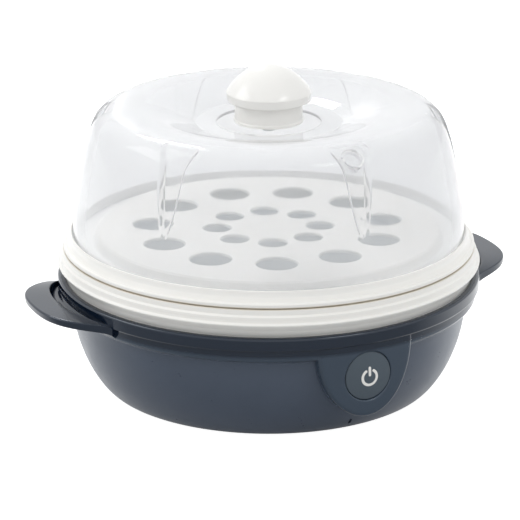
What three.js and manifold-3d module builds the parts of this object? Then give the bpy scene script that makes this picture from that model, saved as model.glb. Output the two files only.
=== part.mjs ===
// Electric steam steriliser for baby bottles: a dark heated base with two ear
// handles and a push button, a white lower basket, a white perforated tray, and
// a clear dome with a white knob. Millimetres, +Z up, origin on the surface it
// stands on, under the centre of the bowl. The button faces -Y, the ears lie
// close to the X axis.
import * as THREE from "three";
import { mergeVertices } from "three/addons/utils/BufferGeometryUtils.js";
import Module from "manifold-3d";

const wasm = await Module();
wasm.setup();

// ---- Driving dimensions -------------------------------------------------
const GAP = 0.3; // clearance between pieces that touch
const RIM_R = 137.5; // outer radius of the base rim, the widest round part
const RIM_TOP = 77;
const RIM_BAND = 8; // height of the rim's outer face
const RIM_MOUTH_R = 133; // inside the rim
const LEDGE_Z = 70; // ledge inside the rim that carries the water bowl
const LIP_Z = 5.4; // underside of the housing's bottom lip
const LIP_R = 87.5; // opening in the bottom lip

const EAR_REACH = 26; // how far an ear stands out from the rim
const EAR_HALF_DEG = 21.5; // half the angle that an ear spans
const EAR_TURN_DEG = -3.6; // the line through the ears, from the X axis
const EAR_ROOT_R = 133.9; // where an ear starts, inside the rim's band
const EAR_THICK = 4.8;
const EAR_LIFT = 4.6; // rise of the ear's plate over its root
const GUTTER_Z = 69.4; // foot of the groove between the rim and an ear

const POD_R = 136.2; // face of the control pod, a cylinder about Z
const POD_HALF = 33; // half width of the pod
const POD_BOTTOM = 20.4; // lowest point of its U-shaped outline
const POD_ROUND_Z = 67; // where the sides turn into the round bottom
const POD_WALL = 2.6;
const POD_BACK = 104; // where the pod starts inside the bowl's wall

const BUTTON_R = 15.8;
const BUTTON_Z = 47.3;
const BUTTON_FRONT = 137.5; // distance of the button's crown from the Z axis
const SWITCH_Y = -121.2; // tip of the switch plunger

const FLOOR_Z = 29.2; // floor of the water bowl
const PLATE_R = 52; // flat of the heating plate
const POST_RING = 82.5; // circle of the posts that the bottom cover screws into

const BASKET_TOP = 94.9; // parting line between basket and tray
const BASKET_FLOOR = 36.4;
const TRAY_R = 133.5; // tray lip
const TRAY_FLOOR = 105.4; // top of the perforated floor
const TRAY_RIM_R = 128.4;
const OUTER_HOLES = 11;
const INNER_HOLES = 8;
const DOME_FOOT_R = 127;
const DOME_FOOT_Z = 98.9;
const DOME_WALL = 1.8;
const FLUTES = 6;
const DOME_TURN_DEG = -1.3; // the dome lies a little turned on its tray
const FLUTE_TOP_Z = 178;
const FLUTE_TIP_Z = 131;
const FLUTE_HALF = 9.6; // half width at the shoulder
const FLUTE_DEPTH = 4.2;
const DISH_Z = 176.7; // flat in the middle of the dome's top
const KNOB_R = 27.4;
const KNOB_BAND_Z = 194.8; // where the knob's edge turns into its crown
const KNOB_TOP = 214.2;
const KNOB_CROWN = 1.75; // 1 is an elliptical crown; above 1 its flanks are straighter
const COLLAR_R = 22.6;
const COLLAR_TOP = 190.3;

const CORD_Z = 24; // height of the supply cord's inlet

const FOOT_RING = 72; // circle of the feet
const FOOT_R = 9;

const ROUND = 40; // segments round the large pieces
const MID = 30;
const SMALL = 18;
const TINY = 12;

// ---- Geometry helpers ---------------------------------------------------
const degrees = THREE.MathUtils.degToRad;

// A closed position-only geometry with shared vertices and no flat triangles.
function cleaned(geometry) {
  const bare = new THREE.BufferGeometry();
  bare.setAttribute("position", geometry.getAttribute("position").clone());
  if (geometry.index) bare.setIndex(geometry.index.clone());
  const merged = mergeVertices(bare, 1e-3);
  const index = merged.index.array;
  const kept = [];
  for (let i = 0; i < index.length; i += 3) {
    const [a, b, c] = index.slice(i, i + 3);
    if (a !== b && b !== c && c !== a) kept.push(a, b, c);
  }
  merged.setIndex(kept);
  return merged;
}

// A manifold solid of a geometry, turned to face outwards.
function solid(geometry) {
  const clean = cleaned(geometry);
  const vertProperties = new Float32Array(clean.getAttribute("position").array);
  const triVerts = new Uint32Array(clean.index.array);
  const made = new wasm.Manifold(new wasm.Mesh({ numProp: 3, vertProperties, triVerts }));
  if (made.volume() >= 0) return made;
  for (let i = 0; i < triVerts.length; i += 3) {
    [triVerts[i + 1], triVerts[i + 2]] = [triVerts[i + 2], triVerts[i + 1]];
  }
  return new wasm.Manifold(new wasm.Mesh({ numProp: 3, vertProperties, triVerts }));
}

function geometryOf(made) {
  const mesh = made.getMesh();
  const geometry = new THREE.BufferGeometry();
  geometry.setAttribute("position", new THREE.BufferAttribute(mesh.vertProperties, 3));
  geometry.setIndex(new THREE.BufferAttribute(mesh.triVerts, 1));
  geometry.computeVertexNormals();
  return geometry;
}

// A profile of [radius, height] points turned about Z. It closes on itself, or
// starts and ends on the axis.
function turned(profile, segments) {
  const points = profile.map(([radius, height]) => new THREE.Vector2(radius, height));
  if (profile[0][0] > 0) points.push(points[0].clone());
  return new THREE.LatheGeometry(points, segments).rotateX(Math.PI / 2);
}

// The same, turned about the Y axis: profile heights run along -Y, outwards
// from the Z axis, at the button's height.
function turnedAtButton(profile, segments) {
  const geometry = turned(profile, segments);
  return geometry.rotateX(Math.PI / 2).translate(0, 0, BUTTON_Z);
}

function rod(radius, low, high, x, y, segments = TINY) {
  return new THREE.CylinderGeometry(radius, radius, high - low, segments)
    .rotateX(Math.PI / 2)
    .translate(x, y, (low + high) / 2);
}

function block(width, depth, height, x, y, z) {
  return new THREE.BoxGeometry(width, depth, height).translate(x, y, z);
}

// Sections of equal point counts joined into one body and capped at both ends.
function lofted(sections) {
  const count = sections[0].length;
  const points = sections.flat();
  const index = [];
  for (let s = 0; s + 1 < sections.length; s++) {
    for (let i = 0; i < count; i++) {
      const a = s * count + i;
      const b = s * count + ((i + 1) % count);
      index.push(a, b, b + count, a, b + count, a + count);
    }
  }
  const last = (sections.length - 1) * count;
  for (let i = 1; i + 1 < count; i++) {
    index.push(0, i + 1, i, last, last + i, last + i + 1);
  }
  const geometry = new THREE.BufferGeometry().setFromPoints(points);
  geometry.setIndex(index);
  return geometry;
}

// A shape in the XZ plane made into a prism between two distances in front
// of the Z axis, on the -Y side.
function frontPrism(shape, near, far) {
  const settings = { depth: far - near, bevelEnabled: false, curveSegments: TINY };
  return new THREE.ExtrudeGeometry(shape, settings).rotateX(Math.PI / 2).translate(0, -near, 0);
}

// A flat bar with round ends, along X, standing on Z = 0.
function stadium(length, width, height) {
  const half = width / 2;
  const straight = length / 2 - half;
  const shape = new THREE.Shape();
  shape.absarc(straight, 0, half, -Math.PI / 2, Math.PI / 2);
  shape.absarc(-straight, 0, half, Math.PI / 2, Math.PI * 1.5);
  return new THREE.ExtrudeGeometry(shape, { depth: height, bevelEnabled: false, curveSegments: 4 });
}

// Points evenly spaced on a circle.
function ring(count, radius, startDeg = 0) {
  return Array.from({ length: count }, (_, i) => {
    const angle = degrees(startDeg + (i * 360) / count);
    return [radius * Math.cos(angle), radius * Math.sin(angle)];
  });
}

function cutAll(made, cutters) {
  return cutters.reduce((left, cutter) => left.subtract(solid(cutter)), made);
}

function joinAll(made, pieces) {
  return pieces.reduce((whole, piece) => whole.add(solid(piece)), made);
}

// ---- Materials ----------------------------------------------------------
const plastic = (color, roughness) => new THREE.MeshStandardMaterial({ color, roughness, metalness: 0 });
const metal = (color, roughness) => new THREE.MeshStandardMaterial({ color, roughness, metalness: 1 });
const material = {
  slate: plastic(0x3f4652, 0.32),
  slateMatt: plastic(0x454c57, 0.55),
  innerDark: plastic(0x343a44, 0.5),
  white: plastic(0xebeae5, 0.35),
  clear: new THREE.MeshStandardMaterial({
    color: 0xe8e9ee,
    roughness: 0.08,
    metalness: 0,
    transparent: true,
    opacity: 0.28,
  }),
  rubber: plastic(0x24262b, 0.85),
  silicone: plastic(0xd9d6cf, 0.6),
  steel: metal(0xb9bcc0, 0.3),
  aluminium: metal(0xc9cbce, 0.4),
  board: plastic(0x2e5b3c, 0.6),
};

const steriliser = new THREE.Group();

function place(name, source, look) {
  const geometry = source instanceof THREE.BufferGeometry ? geometryOf(solid(source)) : geometryOf(source);
  const mesh = new THREE.Mesh(geometry, material[look]);
  mesh.name = name;
  steriliser.add(mesh);
  return mesh;
}

// ---- Base housing -------------------------------------------------------
// U-shaped outline of the control pod, seen from the front, shrunk by inset.
function podOutline(inset, top) {
  const half = POD_HALF - inset;
  const shape = new THREE.Shape();
  shape.moveTo(half, top);
  shape.lineTo(half, POD_ROUND_Z);
  shape.absellipse(0, POD_ROUND_Z, half, POD_ROUND_Z - POD_BOTTOM - inset, 0, Math.PI, true);
  shape.lineTo(-half, top);
  return shape;
}

// One ear: a round tab beyond a groove, growing out of the rim's band round an
// X-axis end. Its sections run from the rim outwards and back underneath.
function ear(side) {
  const sections = [];
  const steps = 16;
  const rootUnder = 61.6;
  for (let s = 0; s <= steps; s++) {
    const share = -1 + (2 * s) / steps;
    const open = Math.pow(Math.max(1 - Math.pow(Math.abs(share), 3.4), 0), 1.4);
    const reach = RIM_R + 0.6 + (EAR_REACH - 0.6) * open - EAR_ROOT_R;
    const top = GUTTER_Z + EAR_LIFT * Math.sqrt(open);
    const groove = GUTTER_Z - 1.6 * open;
    const under = top - EAR_THICK;
    const gusset = THREE.MathUtils.lerp(rootUnder + 0.8, under, 0.35 * open);
    const section = [
      [0, GUTTER_Z + 0.2],
      [0.13, GUTTER_Z],
      [0.18, groove],
      [0.34, groove],
      [0.38, THREE.MathUtils.lerp(groove, top, 0.5)],
      [0.42, THREE.MathUtils.lerp(groove, top, 0.95)],
      [0.94, top],
      [1, top - 1.2],
      [1, under + 1.2],
      [0.94, under],
      [0.5, under - 1.6],
      [0.22, gusset],
      [0, rootUnder],
    ];
    const angle = degrees(share * EAR_HALF_DEG + EAR_TURN_DEG) + (side < 0 ? Math.PI : 0);
    sections.push(
      section.map(([t, z]) => {
        const radius = EAR_ROOT_R + reach * t;
        return new THREE.Vector3(radius * Math.cos(angle), radius * Math.sin(angle), z);
      }),
    );
  }
  return lofted(sections);
}

const housingOutside = [
  [98, 0.9],
  [103.2, 1.6],
  [107.8, 3.8],
  [113, 9.6],
  [119, 19.6],
  [124, 32],
  [127, 43.5],
  [129, 57.6],
  [130, 59.8],
  [134.4, 61.2],
  [135.1, 62.4],
  [135.3, RIM_TOP - RIM_BAND - 0.8],
  [136.7, RIM_TOP - RIM_BAND - 0.4],
  [RIM_R, RIM_TOP - RIM_BAND + 0.6],
  [RIM_R, RIM_TOP - 1.7],
  [RIM_R - 1.7, RIM_TOP],
  [RIM_MOUTH_R, RIM_TOP],
  [RIM_MOUTH_R, LEDGE_Z],
  [126.4, LEDGE_Z],
  [126.4, LEDGE_Z - 2.4],
  [132.4, LEDGE_Z - 2.6],
  [132, 63],
];

const housingInside = [
  [126.4, 59],
  [124.3, 43],
  [121.2, 33],
  [116.6, 22],
  [110.6, 12.6],
  [105.4, 8.6],
  [95, LIP_Z + 2],
];

const bottomLip = [
  [LIP_R, LIP_Z + 2],
  [LIP_R, LIP_Z],
  [93.4, LIP_Z],
  [93.4, 1.1],
];

// A solid disc about Z between two heights.
function disc(radius, low, high, segments = ROUND) {
  return solid(turned([[0, low], [radius, low], [radius, high], [0, high]], segments));
}

function baseHousing() {
  const housing = [...housingOutside, ...housingInside, ...bottomLip];
  const shell = joinAll(solid(turned(housing, ROUND)), [ear(1), ear(-1)]);
  const beyond = RIM_R + 2;
  const podBlock = solid(frontPrism(podOutline(0, RIM_TOP), POD_BACK, beyond));
  const pod = disc(POD_R, POD_BOTTOM - 1, RIM_TOP - RIM_BAND).intersect(podBlock);
  const hollowBlock = solid(frontPrism(podOutline(POD_WALL, RIM_TOP), POD_BACK, beyond));
  const hollow = disc(POD_R - POD_WALL, 0, LEDGE_Z - 3.9).intersect(hollowBlock);
  const innerCone = solid(turned(bowlCore(), ROUND));
  const holeR = BUTTON_R + GAP;
  const buttonHole = turnedAtButton([[0, 120], [holeR, 120], [holeR, 145], [0, 145]], MID);
  const drainSlot = block(1.8, 12, 4, 0, -113, 9);
  const cordHole = rod(6.4, 100, 130, 0, 0, SMALL).rotateX(-Math.PI / 2).translate(0, 0, CORD_Z);
  const closed = shell.add(pod.subtract(innerCone)).subtract(hollow);
  return cutAll(closed, [buttonHole, drainSlot, cordHole]);
}

// The space inside the housing's wall, used to trim the back of the pod.
function bowlCore() {
  const inside = [...housingInside].reverse();
  const [throatR] = inside.at(-1);
  return [[0, inside[0][1]], ...inside, [throatR, RIM_TOP], [0, RIM_TOP]];
}

place("base_housing", baseHousing(), "slate");

// ---- Water bowl, heating plate and what is fixed under it ---------------
const bowlWall = [
  [132.2, LEDGE_Z + GAP + 2],
  [132.2, LEDGE_Z + GAP],
  [124.6, LEDGE_Z + GAP],
  [121, 67],
  [114, 58],
  [110.5, 48],
  [106, 37],
  [99, FLOOR_Z - 2.2],
  [62, FLOOR_Z - 3.4],
  [62, FLOOR_Z - 1.2],
  [98, FLOOR_Z],
  [103.8, 38],
  [108.2, 48.6],
  [111.8, 59],
  [118.9, 68.2],
  [122.2, LEDGE_Z + GAP + 2],
];

const posts = ring(4, POST_RING, 0);

function waterBowl() {
  const pieces = posts.map(([x, y]) => rod(3.8, LIP_Z + GAP, FLOOR_Z - 2, x, y));
  const holes = posts.map(([x, y]) => rod(1.6, LIP_Z - 1, 20, x, y));
  return cutAll(joinAll(solid(turned(bowlWall, MID)), pieces), holes);
}

place("water_bowl", waterBowl(), "innerDark");

const PLATE_Z = 27.4; // top of the plate's flat
const PLATE_GAUGE = 0.8;
const FLANGE_R = PLATE_R + 19;
const FLANGE_Z = 24.6; // top of the plate's flange
const plateProfile = [
  [0, PLATE_Z],
  [PLATE_R, PLATE_Z],
  [PLATE_R + 4, FLANGE_Z],
  [FLANGE_R, FLANGE_Z],
  [FLANGE_R, FLANGE_Z - PLATE_GAUGE],
  [PLATE_R + 3.4, FLANGE_Z - PLATE_GAUGE],
  [PLATE_R - 0.4, PLATE_Z - PLATE_GAUGE],
  [0, PLATE_Z - PLATE_GAUGE],
];
place("heating_plate", turned(plateProfile, MID), "steel");

const LIP_UNDER = FLANGE_Z + GAP; // the seal lies on the flange, its lip stands against the bowl
const sealRing = [
  [58.4, LIP_UNDER],
  [FLANGE_R - 0.6, LIP_UNDER],
  [FLANGE_R - 0.6, LIP_UNDER + 0.6],
  [61.6, LIP_UNDER + 0.6],
  [61.6, PLATE_Z + 0.2],
  [58.4, PLATE_Z + 0.2],
];
place("plate_seal", turned(sealRing, MID), "silicone");
place("heat_spreader", rod(49, LIP_UNDER, PLATE_Z - PLATE_GAUGE - GAP, 0, 0, MID), "aluminium");

function clampRing() {
  const made = solid(turned([[60, 21.6], [76, 21.6], [76, 23.4], [60, 23.4]], MID));
  return cutAll(made, ring(3, 73, 30).map(([x, y]) => rod(1.8, 20, 25, x, y)));
}
place("plate_clamp", clampRing(), "aluminium");

// Tubular heater: most of a circle, its two cold ends turned down.
function heaterElement() {
  const bend = 35;
  const z = 20.9;
  const startDeg = 290;
  const sweepDeg = 320;
  const stations = 22;
  const onBend = (deg) => [bend * Math.cos(degrees(deg)), bend * Math.sin(degrees(deg))];
  const arc = new THREE.CatmullRomCurve3(
    Array.from({ length: stations }, (_, i) => {
      const [x, y] = onBend(startDeg + (i * sweepDeg) / (stations - 1));
      return new THREE.Vector3(x, y, z);
    }),
  );
  const section = new THREE.Shape().absarc(0, 0, 3.5, 0, Math.PI * 2);
  const settings = { steps: 28, extrudePath: arc, curveSegments: 4, bevelEnabled: false };
  const tube = new THREE.ExtrudeGeometry(section, settings);
  const ends = [startDeg, startDeg + sweepDeg].map((deg) => rod(2.4, 12, z, ...onBend(deg)));
  return joinAll(solid(tube), ends);
}
place("heater_element", heaterElement(), "steel");

function thermostat() {
  const made = solid(turned([[0, 15], [9, 15], [9, 22.6], [6, 24.6], [0, 24.6]], SMALL));
  return joinAll(made, [block(3, 0.8, 7, -6, 0, 12), block(3, 0.8, 7, 6, 0, 12)]);
}
place("thermostat", thermostat(), "aluminium");

place("thermal_fuse", new THREE.CapsuleGeometry(2.4, 13, 4, TINY).translate(18, 0, 21.8), "silicone");

// ---- Control: board, switch, button and its guide -----------------------
const BOARD_FRONT = -116.4;
const BOARD_THICK = 1.6;
const BOARD_MIDDLE = BOARD_FRONT + BOARD_THICK / 2;
place("control_board", block(44, BOARD_THICK, 20, 0, BOARD_MIDDLE, BUTTON_Z), "board");

function tactSwitch() {
  const body = solid(block(7, 3, 7, 0, BOARD_FRONT - GAP - 1.5, BUTTON_Z));
  const plunger = turnedAtButton([[0, 119], [1.7, 119], [1.7, -SWITCH_Y], [0, -SWITCH_Y]], TINY);
  return joinAll(body, [plunger]);
}
place("tact_switch", tactSwitch(), "innerDark");

const lampProfile = [
  [0, 116.7],
  [2.4, 116.7],
  [2.4, 117.8],
  [1.5, 117.8],
  [1.5, 120.4],
  [1, 121.4],
  [0, 121.7],
];
place("indicator_lamp", turnedAtButton(lampProfile, TINY).translate(9, 0, 0), "clear");

const buttonProfile = [
  [0, 123],
  [3, 123],
  [3, 130.4],
  [14.2, 130.4],
  [14.2, 129],
  [BUTTON_R + 1.1, 129],
  [BUTTON_R + 1.1, 130.6],
  [BUTTON_R, 131],
  [BUTTON_R, 134.2],
  [BUTTON_R - 1, 135.3],
  [12, 136.2],
  [7, 137.1],
  [0, BUTTON_FRONT],
];
place("power_button", turnedAtButton(buttonProfile, MID), "slateMatt");

// A cup behind the button with a lug on either side.
function buttonGuide() {
  const outerR = 18.3;
  const boreR = 17.3;
  const cup = turnedAtButton(
    [[3.4, 123.4], [outerR, 123.4], [outerR, 131.4], [boreR, 131.4], [boreR, 125], [3.4, 125]],
    MID,
  );
  const lugs = [-1, 1].map((side) => block(6, 1.6, 9, side * (outerR + 2.6), -124.2, BUTTON_Z));
  return joinAll(solid(cup), lugs);
}
place("button_guide", buttonGuide(), "innerDark");

// Compression spring round the button's stem.
function buttonSpring() {
  const turns = 3.5;
  const low = 125.9;
  const high = 129.5;
  const coilR = 6;
  const count = 44;
  const points = Array.from({ length: count + 1 }, (_, i) => {
    const angle = (i / count) * turns * Math.PI * 2;
    const outwards = THREE.MathUtils.lerp(low, high, i / count);
    return new THREE.Vector3(coilR * Math.cos(angle), -outwards, BUTTON_Z + coilR * Math.sin(angle));
  });
  const wire = new THREE.Shape().absarc(0, 0, 0.35, 0, Math.PI * 2);
  return new THREE.ExtrudeGeometry(wire, {
    steps: count,
    extrudePath: new THREE.CatmullRomCurve3(points),
    curveSegments: 3,
    bevelEnabled: false,
  });
}
place("button_spring", buttonSpring(), "steel");

// ---- Bottom cover, feet, screws and cord inlet --------------------------
const COVER_TOP = LIP_Z - GAP;
const COVER_UNDER = COVER_TOP - 2;

function bottomCover() {
  const holes = posts.map(([x, y]) => rod(2.1, 0, 8, x, y));
  const vents = [-2, -1, 0, 1, 2].map((i) => block(3, 34, 10, i * 9, 0, COVER_TOP));
  return cutAll(disc(92.9, COVER_UNDER, COVER_TOP, MID), [...holes, ...vents]);
}
place("bottom_cover", bottomCover(), "innerDark");

const footTop = COVER_UNDER - GAP;
ring(4, FOOT_RING, 45).forEach(([x, y], i) => {
  const profile = [[0, 0], [FOOT_R - 0.6, 0], [FOOT_R, 0.6], [FOOT_R, footTop], [0, footTop]];
  place(`foot_${i + 1}`, turned(profile, SMALL).translate(x, y, 0), "rubber");
});

posts.forEach(([x, y], i) => {
  const seat = COVER_UNDER - GAP;
  const profile = [[0, seat - 1.8], [3.4, seat - 1.8], [3.6, seat], [1.3, seat], [1.3, 18], [0, 18.6]];
  place(`cover_screw_${i + 1}`, turned(profile, TINY).translate(x, y, 0), "steel");
});

// A grommet in the rear wall with the hole that the supply cord enters by.
place(
  "cord_inlet",
  turned([[3.3, 108], [9, 108], [9, 110.6], [6, 111.6], [6, 123.4], [5.2, 124.2], [3.3, 124.2]], SMALL)
    .rotateX(-Math.PI / 2)
    .translate(0, 0, CORD_Z),
  "rubber",
);

// ---- Lower basket -------------------------------------------------------
function lowerBasket() {
  const profile = [
    [0, BASKET_FLOOR - 2.2],
    [95, BASKET_FLOOR - 2.2],
    [101, BASKET_FLOOR + 1.6],
    [106.4, 48.5],
    [110, 59.4],
    [117, 68.8],
    [120.8, LEDGE_Z + 2.9],
    [RIM_MOUTH_R - 0.9, LEDGE_Z + 2.9],
    [RIM_MOUTH_R - 0.6, RIM_TOP],
    [134.6, 81.6],
    [137.1, 85],
    [RIM_R, 86],
    [135.9, 87],
    [135.6, 90.4],
    [134.2, 91.4],
    [133.9, 94.3],
    [133.2, BASKET_TOP],
    [130.9, BASKET_TOP],
    [128.6, 75.4],
    [118.6, 74.6],
    [108, 60.6],
    [104.4, 49.4],
    [99.4, BASKET_FLOOR + 3],
    [94, BASKET_FLOOR],
    [0, BASKET_FLOOR],
  ];
  const slots = ring(8, 66).map(([x, y]) => {
    const slot = stadium(44, 13, 10);
    return slot.rotateZ(Math.atan2(y, x)).translate(x, y, BASKET_FLOOR - 6);
  });
  const centre = rod(16, BASKET_FLOOR - 6, BASKET_FLOOR + 4, 0, 0, SMALL);
  return cutAll(solid(turned(profile, ROUND)), [...slots, centre]);
}
place("lower_basket", lowerBasket(), "white");

// ---- Perforated tray ----------------------------------------------------
function tray() {
  const profile = [
    [0, TRAY_FLOOR - 2.2],
    [109.6, TRAY_FLOOR - 2.2],
    [111.6, 96.6],
    [128, 96.6],
    [128, 90.6],
    [130.3, 90.6],
    [130.3, BASKET_TOP + GAP + 0.1],
    [TRAY_R - 0.5, BASKET_TOP + GAP + 0.1],
    [TRAY_R, BASKET_TOP + GAP + 0.6],
    [TRAY_R, 97.5],
    [TRAY_R - 0.5, 98.1],
    [131.6, 98.4],
    [129.7, 101.6],
    [129, 104.4],
    [TRAY_RIM_R, 105.1],
    [DOME_FOOT_R + 0.8, 105.1],
    [DOME_FOOT_R + 0.7, 98.6],
    [113.6, 98.6],
    [111.8, 104.2],
    [110.4, TRAY_FLOOR],
    [0, TRAY_FLOOR],
  ];
  const hole = (radius) => ([x, y]) => rod(radius, TRAY_FLOOR - 5, TRAY_FLOOR + 3, x, y, TINY);
  const outer = ring(OUTER_HOLES, 75.5, 181.3).map(hole(13.4));
  const inner = ring(INNER_HOLES, 33.5, 22.5).map(hole(9.4));
  return cutAll(solid(turned(profile, ROUND)), [...outer, ...inner]);
}
place("perforated_tray", tray(), "white");

// ---- Dome ---------------------------------------------------------------
const domeOuter = [
  [DOME_FOOT_R, DOME_FOOT_Z],
  [126.9, 110],
  [125.9, 121.4],
  [123.9, 133],
  [121.6, 146.3],
  [119.2, 158],
  [116.5, 168],
  [113.9, 175],
  [111, 180],
  [107.2, 183.5],
  [102.2, 185.5],
  [95.5, 186.4],
  [86, 186.6],
  [77, 185.6],
  [66, 182.9],
  [55, 179.6],
  [48, 177.4],
  [44, DISH_Z],
];

// The same wall one thickness further in, by the profile's own normals.
function insideOf(profile, thickness) {
  return profile.map(([radius, height], i) => {
    const [r0, z0] = profile[Math.max(i - 1, 0)];
    const [r1, z1] = profile[Math.min(i + 1, profile.length - 1)];
    const along = new THREE.Vector2(r1 - r0, z1 - z0).normalize();
    const foot = i === 0 ? 0 : 1;
    return [radius - along.y * thickness, height + along.x * thickness * foot];
  });
}

// How far a point of the wall is pressed in by the nearest flute: a groove with
// a round tip that widens and deepens up to the shoulder.
function fluteDepth(angle, radius, z) {
  const rise = (z - FLUTE_TIP_Z) / (FLUTE_TOP_Z - FLUTE_TIP_Z);
  if (rise <= 0) return 0;
  const pitch = (Math.PI * 2) / FLUTES;
  const off = Math.abs(angle - Math.round(angle / pitch) * pitch) * radius;
  const height = Math.sqrt(Math.min(rise, 1));
  const across = 1 - off / (FLUTE_HALF * height);
  const fade = THREE.MathUtils.clamp((radius - 88) / 22, 0, 1);
  return across <= 0 ? 0 : FLUTE_DEPTH * height * Math.min(across * 2, 1) * fade;
}

function dome() {
  const profile = [
    ...domeOuter,
    [2.6, DISH_Z],
    [2.6, DISH_Z - DOME_WALL],
    ...insideOf(domeOuter, DOME_WALL).reverse(),
  ];
  const pitch = 360 / FLUTES;
  const steps = [0, 2.7, 5.4, 17.7, 30, 42.3, 54.6, 57.3];
  const flutes = Array.from({ length: FLUTES }, (_, f) => f * pitch);
  const angles = flutes.flatMap((start) => steps.map((step) => degrees(start + step)));
  const sections = angles.map((angle) => {
    const placed = angle + degrees(DOME_TURN_DEG);
    return profile.map(([radius, z]) => {
      const pressed = radius - fluteDepth(angle, radius, z);
      return new THREE.Vector3(-pressed * Math.sin(placed), -pressed * Math.cos(placed), z);
    });
  });
  const count = profile.length;
  const index = [];
  sections.forEach((_, s) => {
    const here = s * count;
    const next = ((s + 1) % sections.length) * count;
    for (let i = 0; i < count; i++) {
      const j = (i + 1) % count;
      index.push(here + i, here + j, next + j, here + i, next + j, next + i);
    }
  });
  const geometry = new THREE.BufferGeometry().setFromPoints(sections.flat());
  return geometry.setIndex(index);
}
place("dome", dome(), "clear");

// ---- Knob ---------------------------------------------------------------
const SEAT = DISH_Z + GAP; // the collar stands on the dish
const COLLAR_FLOOR = SEAT + 2;
const collarProfile = [
  [4, COLLAR_FLOOR],
  [4, SEAT],
  [COLLAR_R - 0.6, SEAT],
  [COLLAR_R, SEAT + 0.6],
  [COLLAR_R, COLLAR_TOP - GAP],
  [18, COLLAR_TOP - GAP],
  [18, COLLAR_FLOOR],
];
place("knob_collar", turned(collarProfile, MID), "white");

function knobCap() {
  const steps = 9;
  const crown = Array.from({ length: steps }, (_, i) => {
    const angle = ((i / steps) * Math.PI) / 2;
    const up = Math.pow(Math.sin(angle), KNOB_CROWN);
    return [KNOB_R * Math.cos(angle), KNOB_BAND_Z + (KNOB_TOP - KNOB_BAND_Z) * up];
  });
  const inside = DISH_Z + 17.5;
  const boreEnd = DISH_Z + 11.5;
  const bossFoot = COLLAR_FLOOR + GAP;
  const underneath = [
    [0, boreEnd],
    [2.1, boreEnd],
    [2.1, bossFoot],
    [5.4, bossFoot],
    [5.4, inside],
    [17, inside],
    [17, COLLAR_TOP],
    [24.4, COLLAR_TOP],
    [26.7, COLLAR_TOP + 0.7],
    [KNOB_R, COLLAR_TOP + 2],
  ];
  return turned([...underneath, ...crown, [0, KNOB_TOP]], MID);
}
place("knob_cap", knobCap(), "white");

const SEAL_TOP = DISH_Z - DOME_WALL - GAP;
const SEAL_FOOT = SEAL_TOP - 1.5;
const sealProfile = [[2.6, SEAL_FOOT], [9, SEAL_FOOT], [9, SEAL_TOP], [2.6, SEAL_TOP]];
place("knob_seal", turned(sealProfile, SMALL), "silicone");

const HEAD_TOP = SEAL_FOOT - GAP;
const screwProfile = [
  [0, HEAD_TOP - 2.2],
  [5, HEAD_TOP - 2.2],
  [5.4, HEAD_TOP - 1],
  [5.4, HEAD_TOP],
  [1.8, HEAD_TOP],
  [1.8, DISH_Z + 5.5],
  [0, DISH_Z + 6.1],
];
place("knob_screw", turned(screwProfile, TINY), "steel");

export default steriliser;
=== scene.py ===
"""Looks of a steam steriliser for baby bottles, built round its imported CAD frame.

Lengths in the piece functions are millimetres in the frame's axes: +Z up, the
button on -Y, the ears on +-X. They become metres when a mesh is made.
"""

import math

import bmesh
import bpy
from mathutils import Matrix, Vector


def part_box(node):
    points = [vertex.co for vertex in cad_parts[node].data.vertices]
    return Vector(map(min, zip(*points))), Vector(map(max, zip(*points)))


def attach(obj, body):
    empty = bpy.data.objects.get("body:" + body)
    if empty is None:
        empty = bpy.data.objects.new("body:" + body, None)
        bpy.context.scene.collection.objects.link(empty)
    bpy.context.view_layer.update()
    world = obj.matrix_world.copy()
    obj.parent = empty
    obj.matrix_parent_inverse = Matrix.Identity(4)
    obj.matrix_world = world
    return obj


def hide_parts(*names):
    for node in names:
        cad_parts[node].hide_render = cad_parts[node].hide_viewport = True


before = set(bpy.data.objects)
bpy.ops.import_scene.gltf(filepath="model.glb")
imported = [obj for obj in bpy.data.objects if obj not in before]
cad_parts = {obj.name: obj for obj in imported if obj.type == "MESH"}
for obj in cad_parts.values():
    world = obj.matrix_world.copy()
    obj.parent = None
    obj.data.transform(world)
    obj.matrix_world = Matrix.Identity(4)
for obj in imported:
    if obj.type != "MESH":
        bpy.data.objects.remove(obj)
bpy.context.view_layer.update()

MM = 0.001  # metres in a millimetre


def span(node):
    """Outer radius, foot and top of a node that is round about Z, in millimetres."""
    low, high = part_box(node)
    return high[1] / MM, low[2] / MM, high[2] / MM


# ---- Sizes read from the frame ------------------------------------------
RIM_R, _, RIM_TOP = span("base_housing")
EAR_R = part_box("base_housing")[1][0] / MM
BOWL_R, _, BOWL_TOP = span("water_bowl")
PLATE_R, PLATE_FOOT, PLATE_TOP = span("heating_plate")
SEAL_R, SEAL_FOOT, SEAL_TOP = span("plate_seal")
BASKET_R, BASKET_FOOT, BASKET_TOP = span("lower_basket")
TRAY_R, TRAY_FOOT, TRAY_TOP = span("perforated_tray")
DOME_R, _, DOME_TOP = span("dome")
COLLAR_R, COLLAR_FOOT, COLLAR_TOP = span("knob_collar")
KNOB_R, KNOB_FOOT, KNOB_TOP = span("knob_cap")
COVER_R, COVER_FOOT, COVER_TOP = span("bottom_cover")

BUTTON_LOW, BUTTON_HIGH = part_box("power_button")
BUTTON_FRONT = -BUTTON_LOW[1] / MM  # distance of the crown from the Z axis
BUTTON_BACK = -BUTTON_HIGH[1] / MM
FLANGE_R = BUTTON_HIGH[0] / MM
BUTTON_R = FLANGE_R - 1.1
BUTTON_Z = (BUTTON_LOW[2] + BUTTON_HIGH[2]) / 2 / MM

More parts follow.
